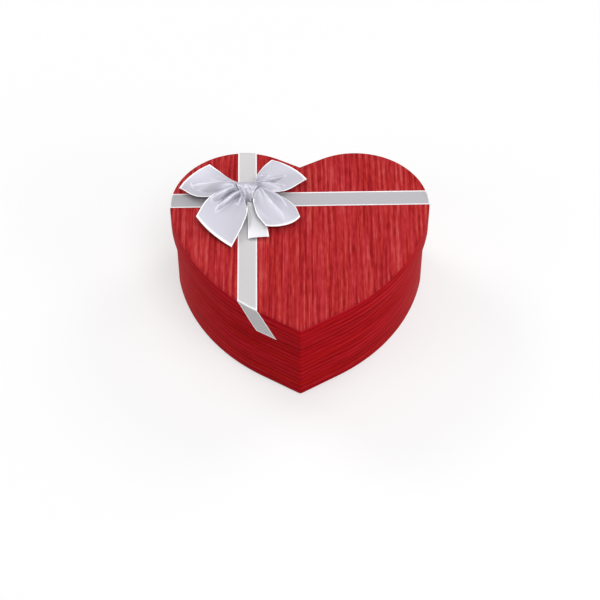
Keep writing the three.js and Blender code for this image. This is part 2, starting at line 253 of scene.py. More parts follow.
def draw_half_heart(piece, depth, height, outside=0):
    """Draws the right half of the outline, some depth in from the lid's outside, from notch to tip.
    outside is that depth for the outside of the lid or base that the line belongs to."""
    count = len(bmesh.from_edit_mesh(piece.data).verts)
    shoulder = math.pi / 2 + SHOULDER_SLOPE
    flank_end = TIP_SLOPE - math.pi / 2
    shoulder_start = at_angle(LOBE, LOBE_RADIUS, shoulder)
    notch_y = shoulder_start.y - shoulder_start.x * math.tan(SHOULDER_SLOPE)
    notch_centre = Vector((0, notch_y + NOTCH_ROUND / math.cos(SHOULDER_SLOPE)))
    notch_round = NOTCH_ROUND + depth
    tip_round = max(TIP_ROUND - (depth - outside), LEAST_ROUND)
    tip_centre = TIP + Vector((0, (depth + tip_round) / math.cos(TIP_SLOPE)))

    pen_down(at_angle(notch_centre, notch_round, -math.pi / 2), height)
    pen_arc(notch_centre, SHOULDER_SLOPE, NOTCH_STEPS, height)
    shoulder_foot = at_angle(notch_centre, notch_round, SHOULDER_SLOPE - math.pi / 2)
    pen_line(shoulder_foot, at_angle(LOBE, LOBE_RADIUS - depth, shoulder), SHOULDER_STEPS)
    pen_arc(LOBE, JOIN - shoulder, LOBE_STEPS, height)
    pen_arc(FLANK, flank_end - JOIN, FLANK_STEPS, height)
    flank_foot = at_angle(FLANK, FLANK_RADIUS - depth, flank_end)
    pen_line(flank_foot, at_angle(tip_centre, tip_round, flank_end), STRAIGHT_STEPS)
    pen_arc(tip_centre, -TIP_SLOPE, TIP_STEPS, height)
    return range(count, len(bmesh.from_edit_mesh(piece.data).verts))


def select_vertices(piece, chosen):
    """Selects these vertices and the edges between them."""
    bpy.ops.mesh.select_mode(type="VERT")
    bpy.ops.mesh.select_all(action="DESELECT")
    mesh = bmesh.from_edit_mesh(piece.data)
    mesh.verts.ensure_lookup_table()
    for index in chosen:
        mesh.verts[index].select = True
    mesh.select_flush(True)
    bmesh.update_edit_mesh(piece.data)


def mirror_half(piece):
    """Adds the left half of a heart."""
    apply_modifier(piece, "MIRROR", use_axis=(True, False, False), merge_threshold=MIRROR_MERGE * MM)


def round_edges(piece, width, segments, least_turn):
    """Rounds the edges where the surface turns by more than some degrees."""
    apply_modifier(
        piece,
        "BEVEL",
        width=width * MM,
        segments=segments,
        limit_method="ANGLE",
        angle_limit=math.radians(least_turn),
    )


def give_thickness(piece, thickness):
    """Makes a sheet solid, half its thickness to each side."""
    apply_modifier(piece, "SOLIDIFY", thickness=thickness * MM, offset=0, use_even_offset=True)
    make_normals_agree(piece)


def heart_sheet(name, route, thickness, outside=0):
    """A sheet that goes all round the box along a route of depths and heights, folded at its corners."""
    piece = start_outline(name)
    last = None
    for depth, height in route:
        line = draw_half_heart(piece, depth, height, outside)
        if last:
            select_vertices(piece, [*last, *line])
            bpy.ops.mesh.bridge_edge_loops()
        last = line
    stop_editing()
    mirror_half(piece)
    make_normals_agree(piece)
    round_edges(piece, FOLD_ROUND, segments=4, least_turn=50)
    give_thickness(piece, thickness)
    return piece


def make_normals_agree(piece):
    """Joins points that coincide, and points all faces outwards."""
    edit_whole(piece)
    bpy.ops.mesh.remove_doubles(threshold=DOUBLES_MERGE * MM)
    bpy.ops.mesh.normals_make_consistent(inside=False)
    stop_editing()


def heart_plate(name, depth, low, high, outside=0):
    """A flat heart cut from a sheet, with its cut edges a little worn."""
    piece = start_outline(name)
    draw_half_heart(piece, depth, low, outside)
    stop_editing()
    mirror_half(piece)
    edit_whole(piece)
    bpy.ops.mesh.edge_face_add()
    bpy.ops.mesh.extrude_region_move(TRANSFORM_OT_translate={"value": (0, 0, (high - low) * MM)})
    stop_editing()
    make_normals_agree(piece)
    round_edges(piece, (high - low) * CUT_EDGE_WEAR, segments=2, least_turn=60)
    return piece


def new_material(name):
    """A material and its shader, to build on."""
    material = bpy.data.materials.new(name)
    material.use_nodes = True
    shader = material.node_tree.nodes["Principled BSDF"]
    return material, shader


def add_node(material, kind, inputs=None, stops=(), **settings):
    """Adds a node to a material, or to the world. Each input, by name or number, is given a value or
    another node's output. stops are the places and colours of a ramp."""
    node = material.node_tree.nodes.new(kind)
    for name, value in settings.items():
        setattr(node, name, value)
    if stops:
        elements = node.color_ramp.elements
        while len(elements) < len(stops):
            elements.new(0.5)
        for element, (position, colour) in zip(elements, stops):
            element.position = position
            element.color = linear(colour)
    join_inputs(material, node, inputs or {})
    return node


def join_inputs(material, node, inputs):
    """Sets each of a node's inputs to a value, or links another node's output to it."""
    for key, value in inputs.items():
        if isinstance(value, bpy.types.NodeSocket):
            material.node_tree.links.new(value, node.inputs[key])
        else:
            node.inputs[key].default_value = value


def linear(hex_colour):
    """An sRGB hex colour as the linear values that a shader takes."""
    shares = [int(hex_colour[i : i + 2], 16) / 255 for i in (1, 3, 5)]
    return [s / 12.92 if s <= 0.04045 else ((s + 0.055) / 1.055) ** 2.4 for s in shares] + [1]


def per_mm(x, y, z):
    """A mapping scale that makes one unit of a pattern this many millimetres each way."""
    return (1 / (x * MM), 1 / (y * MM), 1 / (z * MM))


def weighted_sum(material, parts):
    """Adds up outputs, each times its weight."""
    total = 0.0
    for output, weight in parts:
        inputs = {0: output, 1: weight, 2: total}
        total = add_node(material, "ShaderNodeMath", inputs, operation="MULTIPLY_ADD").outputs[0]
    return total


def streaks(material, place, grain, detail):
    """Noise drawn out along the grain. grain gives its size in millimetres each way."""
    drawn_out = add_node(material, "ShaderNodeMapping", {"Vector": place, "Scale": per_mm(*grain)})
    inputs = {"Vector": drawn_out.outputs[0], "Scale": 1.0, "Detail": detail, "Roughness": 0.5}
    return add_node(material, "ShaderNodeTexNoise", inputs).outputs["Fac"]


def ribs(material, place, direction, along):
    """The embossed lines, an even distance apart but for their wander."""
    unit = RIB_SPACING / WAVE_LENGTH
    sizes = [unit if axis == direction else along for axis in "XYZ"]
    drawn_out = add_node(material, "ShaderNodeMapping", {"Vector": place, "Scale": per_mm(*sizes)})
    inputs = {
        "Vector": drawn_out.outputs[0],
        "Scale": 1.0,
        "Distortion": 5.0,
        "Detail": 2.0,
        "Detail Scale": 1.3,
        "Detail Roughness": 0.6,
    }
    return add_node(material, "ShaderNodeTexWave", inputs, bands_direction=direction).outputs["Fac"]


def streaked_paper(name, direction, streak_width, along, evenness, stops):
    """Printed art paper with an embossed grain like brushed wood: thin dark lines and soft light streaks,
    and hardly any gloss. direction is the axis that the lines lie across, along is how long they are, and
    evenness is the share of them that keep an even distance."""
    material, shader = new_material(name)
    place = add_node(material, "ShaderNodeTexCoord").outputs["Object"]
    grain = [streak_width if axis == direction else along for axis in "XYZ"]
    wave = ribs(material, place, direction, along * 2)
    lines = streaks(material, place, grain, 1.0)
    fine_lines = streaks(material, place, [size * FINE_STREAKS for size in grain], 3.0)
    patches = streaks(material, place, [size * BROAD_STREAKS for size in grain], 1.0)
    short = [streak_width if axis == direction else along * SHORT_STREAKS for axis in "XYZ"]
    short_lines = streaks(material, place, short, 1.0)
    parts = [
        (wave, evenness),
        (lines, 1 - evenness - FINE_SHARE - SHORT_SHARE),
        (fine_lines, FINE_SHARE),
        (short_lines, SHORT_SHARE),
    ]
    tone = weighted_sum(material, parts)
    hue = weighted_sum(material, [(patches, HUE_RANGE), (1.0, 0.5 - HUE_RANGE / 2)])
    printed = add_node(material, "ShaderNodeValToRGB", {"Fac": tone}, stops).outputs["Color"]
    inputs = {"Hue": hue, "Color": printed}
    colour = add_node(material, "ShaderNodeHueSaturation", inputs).outputs[0]
    inputs = {"Height": tone, "Strength": 0.4, "Distance": EMBOSSING * streak_width * MM}
    bump = add_node(material, "ShaderNodeBump", inputs)
    inputs = {
        "Base Color": colour,
        "Roughness": 0.6,
        "Specular IOR Level": 0.03,
        "Normal": bump.outputs["Normal"],
    }
    join_inputs(material, shader, inputs)
    return material


def line_mask(material, share, from_middle, half_width, fade):
    """1 on the two lines that lie as far from the middle of a ribbon as from_middle says, and 0
    elsewhere. All are shares of its width or its length, and fade is the part of the half width in which
    it falls from 1 to 0."""
    away = share
    for middle in (0.5, from_middle):
        offset = add_node(material, "ShaderNodeMath", {0: away, 1: middle}, operation="SUBTRACT").outputs[0]
        away = add_node(material, "ShaderNodeMath", {0: offset}, operation="ABSOLUTE").outputs[0]
    inputs = {"Value": away, "From Min": half_width, "From Max": half_width * (1 - fade)}
    return add_node(material, "ShaderNodeMapRange", inputs).outputs[0]


def satin(name, field, selvedge, width, fold_highlights=()):
    """Woven polyester satin with a dense selvedge down each side. Its gloss spreads across the ribbon, and
    it is partly metallic, so that each crease shows a bright crest beside a grey hollow. One ribbon shows
    whiter along the light than across it, hence a colour for each: painted light and painted shade. The
    selvedges show as thin lighter lines, and each fold across the ribbon as a thin painted highlight."""
    material, shader = new_material(name)
    place = add_node(material, "ShaderNodeUVMap", uv_map="ribbon").outputs["UV"]
    shares = add_node(material, "ShaderNodeSeparateXYZ", {0: place})
    bright = line_mask(material, shares.outputs[0], 0.5, SELVEDGE_WIDTH / width, SELVEDGE_FADE)
    # Each fold across the ribbon gets a painted highlight in the selvedge's colour
    for fold in fold_highlights:
        pressed = line_mask(material, shares.outputs[1], *fold)
        brightest = add_node(material, "ShaderNodeMath", {0: bright, 1: pressed}, operation="MAXIMUM")
        bright = brightest.outputs[0]
    inputs = {"Factor": bright, "A": linear(field), "B": linear(selvedge)}
    colour = add_node(material, "ShaderNodeMix", inputs, data_type="RGBA").outputs["Result"]
    across = add_node(material, "ShaderNodeTangent", direction_type="UV_MAP", uv_map="ribbon").outputs[0]
    inputs = {
        "Base Color": colour,
        "Metallic": 0.32,
        "Roughness": 0.42,
        "Anisotropic": 0.85,
        "Tangent": across,
    }
    join_inputs(material, shader, inputs)
    return material


def plain_stock(name, colours, grain, roughness):
    """Unprinted board, paper or tape, or set glue: a dull surface with a faint mottle, drawn coarser than
    real fibres so that it shows. grain is its size in millimetres."""
    material, shader = new_material(name)
    place = add_node(material, "ShaderNodeTexCoord").outputs["Object"]
    inputs = {"Vector": place, "Scale": per_mm(grain, grain, grain)}
    fibres = add_node(material, "ShaderNodeMapping", inputs).outputs[0]
    inputs = {"Vector": fibres, "Scale": 1.0, "Detail": 4.0, "Roughness": 0.65}
    noise = add_node(material, "ShaderNodeTexNoise", inputs).outputs["Fac"]
    inputs = {"Height": noise, "Strength": 0.3, "Distance": 0.05 * MM}
    bump = add_node(material, "ShaderNodeBump", inputs).outputs["Normal"]
    stops = [(0.3, colours[0]), (0.7, colours[1])]
    mottle = add_node(material, "ShaderNodeValToRGB", {"Fac": noise}, stops).outputs["Color"]
    join_inputs(material, shader, {"Base Color": mottle, "Roughness": roughness, "Normal": bump})
    return material


# The top's stops are the walls' red with a whitish painted sheen mixed in, the gloss that the level top
# shows in the light; the walls' stops are the paper's own red
TOP_SHEEN_STOPS = [(0.38, "#8c171a"), (0.46, "#a42326"), (0.55, "#b22f31"), (0.67, "#c04b49")]
WALL_STOPS = [(0.38, "#97070f"), (0.46, "#ad0b14"), (0.54, "#bc111b"), (0.66, "#cc1f29")]
top_paper_painted_sheen = streaked_paper("streaked_paper_top_painted_sheen", "X", *TOP_STREAKS, TOP_SHEEN_STOPS)
wall_paper = streaked_paper("streaked_paper_walls", "Z", *WALL_STREAKS, WALL_STOPS)
bottom_paper = streaked_paper("streaked_paper_bottom", "X", *TOP_STREAKS, WALL_STOPS)
white_paper = plain_stock("white_lining_paper", ("#ece8df", "#f6f3ec"), grain=3, roughness=0.75)
grey_board = plain_stock("greyboard", ("#7f7a71", "#999389"), grain=2, roughness=0.9)
kraft_tape = plain_stock("kraft_stay_tape", ("#a07f52", "#bb9868"), grain=2, roughness=0.75)
glue = plain_stock("hot_melt_glue", ("#e0dac6", "#ece7d8"), grain=4, roughness=0.4)
# The flat ribbons are one satin in two colours: the lengthways one lighter with painted light, the
# crossways one darker with painted shade, as their floats lie along and across the light
long_satin_painted_light = satin("satin_ribbon_lengthways_painted_light", "#c6c4c5", "#f2f1f2", RIBBON_WIDTH, LONG_RIBBON_FOLD_HIGHLIGHTS)
cross_satin_painted_shade = satin("satin_ribbon_crossways_painted_shade", "#aba9ad", "#eeedef", RIBBON_WIDTH, CROSS_RIBBON_FOLD_HIGHLIGHTS)
bow_satin = satin("satin_ribbon_wide", "#bfbec9", "#f4f3f5", BOW_RIBBON_WIDTH, LOOP_FOLD_HIGHLIGHTS)
# The knot's satin is the bow's, darker in its field and selvedge with painted shade
knot_satin_painted_shade = satin("satin_ribbon_knot_painted_shade", "#bab9c4", "#e6e5ea", KNOT_RIBBON_WIDTH)
# The tail's satin is made lighter with painted light, where it lies flat in the lamps' light
tail_satin_painted_light = satin("satin_ribbon_tail_painted_light", "#dddce0", "#f2f1f3", TAIL_WIDTH)


def turned_over(piece):
    """Turns the right half of something into its left half."""
    edit_whole(piece)
    bpy.ops.transform.resize(value=(-1, 1, 1), center_override=(0, 0, 0))
    stop_editing()
    make_normals_agree(piece)


def layer_place(node):
    """How deep the outside of a layer lies in from the lid's outside, and its lowest and highest
    heights."""
    low, high = (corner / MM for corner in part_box(node))
    return LID_HIGH.x - max(high.x, -low.x), low.z, high.z


def add_wall_boards(node, body, outside=0):
    """The greyboard wall, in a left and a right strip that meet at the tip and at the notch."""
    for side in ("left", "right"):
        depth, low, high = layer_place(f"{node}_{side}")
        piece = start_outline(f"{node}_strip_{side}")
        lines = [draw_half_heart(piece, depth + BOARD / 2, height, outside) for height in (low, high)]
        select_vertices(piece, [*lines[0], *lines[1]])
        bpy.ops.mesh.bridge_edge_loops()
        stop_editing()
        give_thickness(piece, BOARD)
        if side == "left":
            turned_over(piece)
        finish_piece(piece, body, grey_board, f"{node}_{side}")


def cut_away(piece, place, normal):
    """Cuts a piece with a plane and takes away the side that the normal points to."""
    edit_whole(piece)
    bpy.ops.mesh.bisect(plane_co=Vector(place) * MM, plane_no=normal, use_fill=True, clear_outer=True)
    stop_editing()


def add_stays(name, body, outside=0):
    """The paper tape over the two joints of a board wall: round the tip, and into the notch."""
    depth = outside + WRAP + PASTE + STAY / 2
    for end in ("tip", "notch"):
        node = f"{name}_stay_{end}"
        low, high = (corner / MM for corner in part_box(node))
        piece = heart_sheet(f"{node}_tape", [(depth, low.z), (depth, high.z)], STAY, outside)
        if end == "tip":
            cut_away(piece, (0, high.y, 0), (0, 1, 0))
        else:
            cut_away(piece, (0, 0, 0), (0, -1, 0))
            cut_away(piece, (high.x, 0, 0), (1, 0, 0))
            cut_away(piece, (low.x, 0, 0), (-1, 0, 0))
        make_normals_agree(piece)
        finish_piece(piece, body, kraft_tape, node)


def add_boards():
    """All the greyboard and tape under the papers."""
    add_wall_boards("base_wall_board", "base", BASE_DEPTH)
    add_wall_boards("lid_rim_board", "lid")
    for node, body in (("base_bottom_board", "base"), ("lid_top_board", "lid")):
        piece = heart_plate(f"{node}_sheet", *layer_place(node))
        finish_piece(piece, body, grey_board, node)
    add_stays("base", "base", BASE_DEPTH)
    add_stays("lid", "lid")


def add_base_papers():
    """The papers of the base: wall wrap, bottom sheet and linings."""
    outside = BASE_DEPTH + WRAP / 2
    turned_in = outside + TURN_IN_DEPTH
    top = BASE_HIGH.z - WRAP / 2
    under = BASE_LOW.z + WRAP / 2
    route = [
        (outside + TURN_OVER, under),
        (outside, under),
        (outside, top),
        (turned_in, top),
        (turned_in, top - TURN_IN),
    ]
    wrap = heart_sheet("base_wall_paper", route, WRAP, BASE_DEPTH)
    finish_piece(wrap, "base", wall_paper, "base_wall_wrap")
    _, low, high = layer_place("base_bottom_sheet")
    bottom = heart_plate("base_bottom_paper", BASE_DEPTH + BOTTOM_SHEET_BORDER, low, high, BASE_DEPTH)
    finish_piece(bottom, "base", bottom_paper, "base_bottom_sheet")
    depth, low, high = layer_place("base_wall_lining")
    middle = depth + LINING / 2
    lining = heart_sheet("base_wall_lining_paper", [(middle, low), (middle, high)], LINING)
    finish_piece(lining, "base", white_paper, "base_wall_lining")
    floor = heart_plate("base_floor_lining_paper", *layer_place("base_floor_lining"))
    finish_piece(floor, "base", white_paper, "base_floor_lining")


def add_lid_papers():
    """The papers of the lid: rim wrap, top sheet and lining."""
    outside = WRAP / 2
    turned_in = outside + TURN_IN_DEPTH
    top = LID_HIGH.z - WRAP / 2
    under = LID_LOW.z + WRAP / 2
    lining_place = layer_place("lid_top_lining")
    route = [
        (outside + TURN_OVER, top),
        (outside, top),
        (outside, under),
        (turned_in, under),
        (turned_in, lining_place[-1]),
    ]
    wrap = heart_sheet("lid_rim_paper", route, WRAP)
    finish_piece(wrap, "lid", wall_paper, "lid_rim_wrap")
    # Where it turns over on the top it lies in the top's light, so it has the top's paper, whose paler red
    # is painted sheen
    wrap.data.materials.append(top_paper_painted_sheen)
    for face in wrap.data.polygons:
        if face.normal.z > FACES_UP and face.center.z > (top - FOLD_ROUND) * MM:
            face.material_index = 1
    lining = heart_plate("lid_top_lining_paper", *lining_place)
    finish_piece(lining, "lid", white_paper, "lid_top_lining")
    sheet = heart_plate("lid_top_paper", *layer_place("lid_top_sheet"))
    finish_piece(sheet, "lid", top_paper_painted_sheen, "lid_top_sheet")


def sheet_from_lines(name, shares, lines):
    """A sheet whose mesh has these lines of points along it, with a map of its shares across and along."""
    row = len(lines[0])
    mesh = bpy.data.meshes.new(name)
    points = [Vector(point) * MM for line in lines for point in line]
    corners = [i * row + j for i in range(len(lines) - 1) for j in range(row - 1)]
    faces = [(first, first + row, first + row + 1, first + 1) for first in corners]
    mesh.from_pydata(points, [], faces)
    layer = mesh.uv_layers.new(name="ribbon")
    for loop in mesh.loops:
        i, j = divmod(loop.vertex_index, row)
        layer.data[loop.index].uv = (shares[i], j / (row - 1))
    piece = bpy.data.objects.new(name, mesh)
    bpy.context.collection.objects.link(piece)
    return piece


def ribbon_shares(width, fields):
    """Shares across a ribbon for its lines: close together over each selvedge, and even between them."""
    selvedge = SELVEDGE_WIDTH / width
    middle = selvedge * SELVEDGE_MIDDLE
    field = [selvedge + (1 - 2 * selvedge) * i / fields for i in range(fields + 1)]
    return [0, middle, *field, 1 - middle, 1]


def add_ribbon(name, shares, lines, thickness, selvedge):
    """A solid ribbon along these lines of points, a little thicker over its selvedges."""
    piece = sheet_from_lines(name, shares, lines)
    row = len(lines[0])
    count = row * len(lines)
    edges = piece.vertex_groups.new(name="selvedge")
    edges.add(range(count), 1, "REPLACE")
    edges.add(range(2 * row, count - 2 * row), thickness / selvedge, "REPLACE")
    apply_modifier(piece, "SOLIDIFY", thickness=selvedge * MM, offset=0, vertex_group="selvedge")
    make_normals_agree(piece)
    return piece


def edge_bend(corner, reach, inwards):
    """Points of a bend over an edge, from some reach inwards on the flat to a little way down the wall."""
    for i in range(BEND_STEPS + 1):
        turn = math.pi / 2 * i / BEND_STEPS
        flat = corner + inwards * reach * (1 - math.sin(turn))
        yield Vector((flat.x, flat.y, corner.z - RIBBON_BEND * (1 - math.cos(turn))))


def steps_between(start, end, steps):
    """The points between two ends that divide the way into some steps."""
    return [start.lerp(end, i / steps) for i in range(1, steps)]


def tucked_end(low, inwards):
    """The end of a flat ribbon, round the rim's lower edge and in under it."""
    return [
        low + Vector((0, 0, RIBBON_BEND / 2)),
        low + inwards * RIBBON_TUCK_BEND,
        low + inwards * RIBBON_TUCK,
    ]


def wall_distance(x, outside):
    """How far forward the front wall of the lid is at some x, some distance out from it."""
    straight = abs(at_angle(FLANK, FLANK_RADIUS, TIP_SLOPE - math.pi / 2).x)
    if abs(x) < straight:
        return TIP.y - outside / math.cos(TIP_SLOPE) + abs(x) * math.tan(TIP_SLOPE)
    return FLANK.y - math.sqrt((FLANK_RADIUS + outside) ** 2 - (abs(x) - FLANK.x) ** 2)


def lobe_distance(offset, outside):
    """How far from its centre's line the lobe's outside is, at some offset along that line."""
    return math.sqrt((LOBE_RADIUS + outside) ** 2 - offset**2)


def add_cross_ribbon():
    """The flat ribbon from side to side, glued to the lid."""
    shares = ribbon_shares(RIBBON_WIDTH, RIBBON_FIELDS)
    outside = PASTE + RIBBON / 2
    top = LID_TOP + outside
    rise = LID_HIGH.x * math.tan(CROSS_RIBBON_TURN)
    lines = []
    for share in shares:
        halves = []
        for side in (-1, 1):
            y = CROSS_RIBBON_Y + (share - 0.5) * RIBBON_WIDTH + side * rise
            edge = Vector((side * (LOBE.x + lobe_distance(y - LOBE.y, outside)), y, top))
            inwards = Vector((-side, 0, 0))
            bend = list(edge_bend(edge, RIBBON_BEND, inwards))
            low = Vector((edge.x, y, LID_LOW.z - outside))
            wall = steps_between(bend[-1], low, CROSS_DROP_STEPS)
            halves.append([*bend, *wall, *tucked_end(low, inwards)])
        left, right = halves
        lines.append([*reversed(left), *steps_between(left[0], right[0], CROSS_RIBBON_STEPS), *right])
    piece = add_ribbon("ribbon_cross_satin", shares, lines, RIBBON, RIBBON_SELVEDGE)
    finish_piece(piece, "lid", cross_satin_painted_shade, "ribbon_cross")


def lift_over_cross_ribbon(points):
    """Lifts the long ribbon's points where they pass over the cross ribbon."""
    for point in points:
        from_middle = abs(point.y - CROSS_RIBBON_Y - point.x * math.tan(CROSS_RIBBON_TURN))
        share = (from_middle - RIBBON_WIDTH / 2) / CROSSING_REACH
        point.z += CROSSING_LIFT * (1 - smooth_share(share))


def front_drop(front, slope, fall, outside):
    """The long ribbon's way down the front of the rim, aslant round the curved wall, and in under it."""
    wall = []
    for i in range(1, LONG_DROP_STEPS + 1):
        drop = RIBBON_BEND + (fall + outside - RIBBON_BEND) * i / LONG_DROP_STEPS
        x = front.x + drop * math.sin(slope)
        wall.append(Vector((x, wall_distance(x, outside), front.z - drop)))
    foot = wall.pop()
    return [
        *wall,
        foot + Vector((0, 0, RIBBON_BEND / 2)),
        foot + Vector((FRONT_TUCK_BEND_ASIDE, RIBBON_TUCK_BEND, 0)),
        foot + Vector((FRONT_TUCK_ASIDE, RIBBON_TUCK, 0)),
    ]


def add_long_ribbon():
    """The flat ribbon from front to back, glued to the lid and over the cross ribbon."""
    shares = ribbon_shares(RIBBON_WIDTH, RIBBON_FIELDS)
    outside = PASTE + RIBBON / 2
    top = LID_TOP + outside
    fall = LID_TOP - LID_LOW.z
    slope = math.asin((FLANK.x + LONG_RIBBON_X) / -FLANK_RADIUS)
    turn = math.tan(LONG_RIBBON_TURN)
    backwards = Vector((0, 1, 0))
    lines = []
    for share in shares:
        offset = LONG_RIBBON_X + (share - 0.5) * RIBBON_WIDTH
        back_x = offset - LID_HIGH.y * turn
        back = Vector((back_x, LOBE.y + lobe_distance(back_x + LOBE.x, outside), top))
        front_x = offset - wall_distance(offset, 0) * turn
        front = Vector((front_x, wall_distance(front_x, outside), top))
        low = Vector((back.x, back.y, LID_LOW.z - outside))
        back_bend = list(edge_bend(back, RIBBON_BEND, -backwards))
        back_wall = steps_between(back_bend[-1], low, LONG_DROP_STEPS)
        back_end = [*back_bend, *back_wall, *tucked_end(low, -backwards)]
        bend = list(edge_bend(front, RIBBON_BEND / math.cos(slope), backwards))
        run = steps_between(back_bend[0], bend[0], LONG_RIBBON_STEPS)
        lift_over_cross_ribbon(run)
        lines.append([*reversed(back_end), *run, *bend, *front_drop(front, slope, fall, outside)])
    piece = add_ribbon("ribbon_long_satin", shares, lines, RIBBON, RIBBON_SELVEDGE)
    finish_piece(piece, "lid", long_satin_painted_light, "ribbon_long")


def smooth_share(share):
    """0 below 0, 1 above 1, and a smooth way between."""
    share = min(max(share, 0), 1)
    return share * share * (3 - 2 * share)


def smooth_route(points, steps):
    """A smooth line through points, with some steps from each to the next."""
    points = [Vector(point) for point in points]
    ends = [points[0] * 2 - points[1], *points, points[-1] * 2 - points[-2]]
    tangents = [(after - before).normalized() for before, after in zip(ends, ends[2:])]
    route = [points[0]]
    for i in range(len(points) - 1):
        start, end = points[i], points[i + 1]
        third = (end - start).length / 3
        handles = start + tangents[i] * third, end - tangents[i + 1] * third
        route += geometry.interpolate_bezier(start, *handles, end, steps + 1)[1:]
    return route


def lifted(point, up):
    """A point moved up."""
    return Vector(point) + Vector((0, 0, up))


def drawn_in(point, share, height):
    """A point of the lower ply: under a point of the upper one, and a little nearer the knot."""
    return Vector((point[0] * share, point[1] * share, height))


def ribbon_surface(right, left, steps, fields, width, shape):
    """The shares across a ribbon of its lines, their points between its two edges, and its flat size.
    From a point's shares across and along, shape gives how far it moves outwards, up, and across."""
    right_edge, left_edge = smooth_route(right, steps), smooth_route(left, steps)
    middle = [start.lerp(end, 0.5) for start, end in zip(right_edge, left_edge)]
    length = sum((after - before).length for before, after in zip(middle, middle[1:]))
    shares = ribbon_shares(width, fields)
    count = len(right_edge) - 1
    lines = []
    for share in shares:
        line = []
        for j, (start, end) in enumerate(zip(right_edge, left_edge)):
            point = start.lerp(end, share)
            outwards, up, across = shape(share, j / count)
            point += Vector((point.x, point.y, 0)).normalized() * outwards
            point += (end - start).normalized() * across
            line.append(Vector((BOW_X, BOW_Y, LID_TOP + up)) + point)
        lines.append(line)
    return shares, lines, (width * MM, length * MM)


# Each loop of the bow, as seen from the knot: the right and the left edge of its upper ply, from the
# waist to the fold's corner, as points from the knot's middle and over the lid; how far the fold and the
# ply stand out between the edges; and its gathers. Each gather has its place across and its width, both
# as shares at the waist and at its end, how far out it reaches as a share of the way to the fold, how
# high it stands, how far it leans, and the power that its end falls off with.
LOOPS = {
    "upper_left": {
        "right": [(-3, 8.5, 10.5), (-13.5, 15.7, 10.5), (-21.9, 25.1, 9.5), (-30.3, 34.4, 8)],
        "left": [(-5.5, 2.5, 10), (-22, -2.2, 8), (-40, -1.2, 5.8), (-55.2, 8.6, 6)],
        "bulge": 3.0,
        "crown": 2.2,
        "gathers": [
            {"across": (0.7, 0.72), "reach": 0.66, "height": 5.6, "width": (0.15, 0.18), "lean": -2.2},
            {"across": (0.4, 0.48), "reach": 0.4, "height": 2.8, "width": (0.12, 0.08), "lean": -1.0},
        ],
    },
    "upper_right": {
        "right": [(9.5, 3.5, 10), (21, 2.8, 7.5), (36, 6.6, 4.8), (53.4, 19.5, 5)],
        "left": [(7.5, 8.8, 11), (11.2, 19.2, 10.5), (16.2, 29.7, 9.5), (23.4, 39.7, 8)],
        "bulge": 3.6,
        "crown": 2.2,
        "gathers": [
            {"across": (0.16, 0.16), "reach": 0.52, "height": 5.0, "width": (0.13, 0.13), "lean": 2.0},
            {"across": (0.44, 0.42), "reach": 0.6, "height": 5.6, "width": (0.14, 0.1), "lean": -2.4},
            {"across": (0.76, 0.66), "reach": 0.42, "height": 3.6, "width": (0.12, 0.08), "lean": 1.0},
        ],
    },
    "lower_left": {
        "right": [(-5.5, 1.5, 11.5), (-20, -1, 12.3), (-31, -10.4, 11.5), (-39.3, -26.8, 9)],
        "left": [(0, -6.5, 9), (3.4, -17.6, 7.5), (-0.4, -34, 5.5), (-9.2, -55.8, 2.8)],
        "bulge": 2.6,
        "crown": 1.2,
        "gathers": [
            {"across": (0.14, 0.15), "reach": 0.47, "height": 7.2, "width": (0.14, 0.16), "lean": 3.4},
            {"across": (0.46, 0.34), "reach": 0.55, "height": 7.2, "width": (0.12, 0.09), "lean": 4.0},
            {"across": (0.74, 0.66), "reach": 0.3, "height": 3.6, "width": (0.1, 0.08), "lean": 1.2},
        ],
    },
    "lower_right": {
        "right": [(7.2, -2.9, 11), (8.4, -13.5, 11), (11.6, -25.5, 9), (18.6, -34, 5)],
        "left": [(12, 1.5, 10), (28, -0.4, 7), (42, -10.6, 5.4), (47.4, -23.6, 5)],
        "bulge": 5.6,
        "crown": 1.6,
        "gathers": [
            {
                "across": (0.28, 0.42),
                "reach": 0.72,
                "height": 7.4,
                "width": (0.27, 0.44),
                "lean": 4.4,
                "end": 1,
            },
            {"across": (0.68, 0.8), "reach": 0.5, "height": 5.0, "width": (0.09, 0.07), "lean": 1.6},
            {"across": (0.9, 0.94), "reach": 0.36, "height": 3.8, "width": (0.08, 0.06), "lean": -1.0},
        ],
    },
}
USUAL_END_POWER = 4

# A loop's lower ply: how far out it goes and how much narrower it is, as shares of the upper one; its least
# height, how much higher it is at the middle and the waist, and how far it stays below the fold's corners
LOWER_PLY = 0.93
LOWER_PLY_INSET = 0.1
LOWER_PLY_HEIGHT = 1.8
LOWER_PLY_MIDDLE_RISE = 1
LOWER_PLY_WAIST_RISE = 3
LOWER_PLY_FALL = 2.5

# A loop's fold: its thickness, how far its lower and its upper bend lie back from its corner, as shares
# of the way to the next point, and how far the upper bend stands up
FOLD_THICKNESS = 0.8
LOWER_BEND_BACK = 0.08
UPPER_BEND_BACK = 0.04
UPPER_BEND_RISE = 0.1

# A loop's small pleats at the waist: how many, how high, and how much of the height the upper ply has;
# then the shares of the way out at which the pleats end, the bulge is full, and the knot's hold on the
# gathers ends
SMALL_PLEATS = 4
SMALL_PLEAT_HEIGHT = 2.2
UPPER_PLEAT_SHARE = 0.8
PLEAT_REACH = 0.5
FULL_BULGE = 0.75
KNOT_HOLD = 1 / 9

# The knot: how many creases cross it and how far they slant, how far it is rounded and how flat on top,
# and how deep the creases are at its back and on its top
KNOT_CREASES = 2.5
KNOT_CREASE_SLANT = 0.9
KNOT_CROWN = 2.0
KNOT_FLATNESS = 0.7
KNOT_BACK_CREASE = 1.3
KNOT_TOP_CREASE = 0.8

# The tail's rounding at the knot and at its end
TAIL_START_CROWN = 0.7
TAIL_END_CROWN = 0.5

# Fineness of the bow: steps along each stretch, and fields across
LOOP_STEPS = 14
LOOP_FIELDS = 60
KNOT_STEPS = 8
KNOT_FIELDS = 36
TAIL_STEPS = 8
TAIL_FIELDS = 14


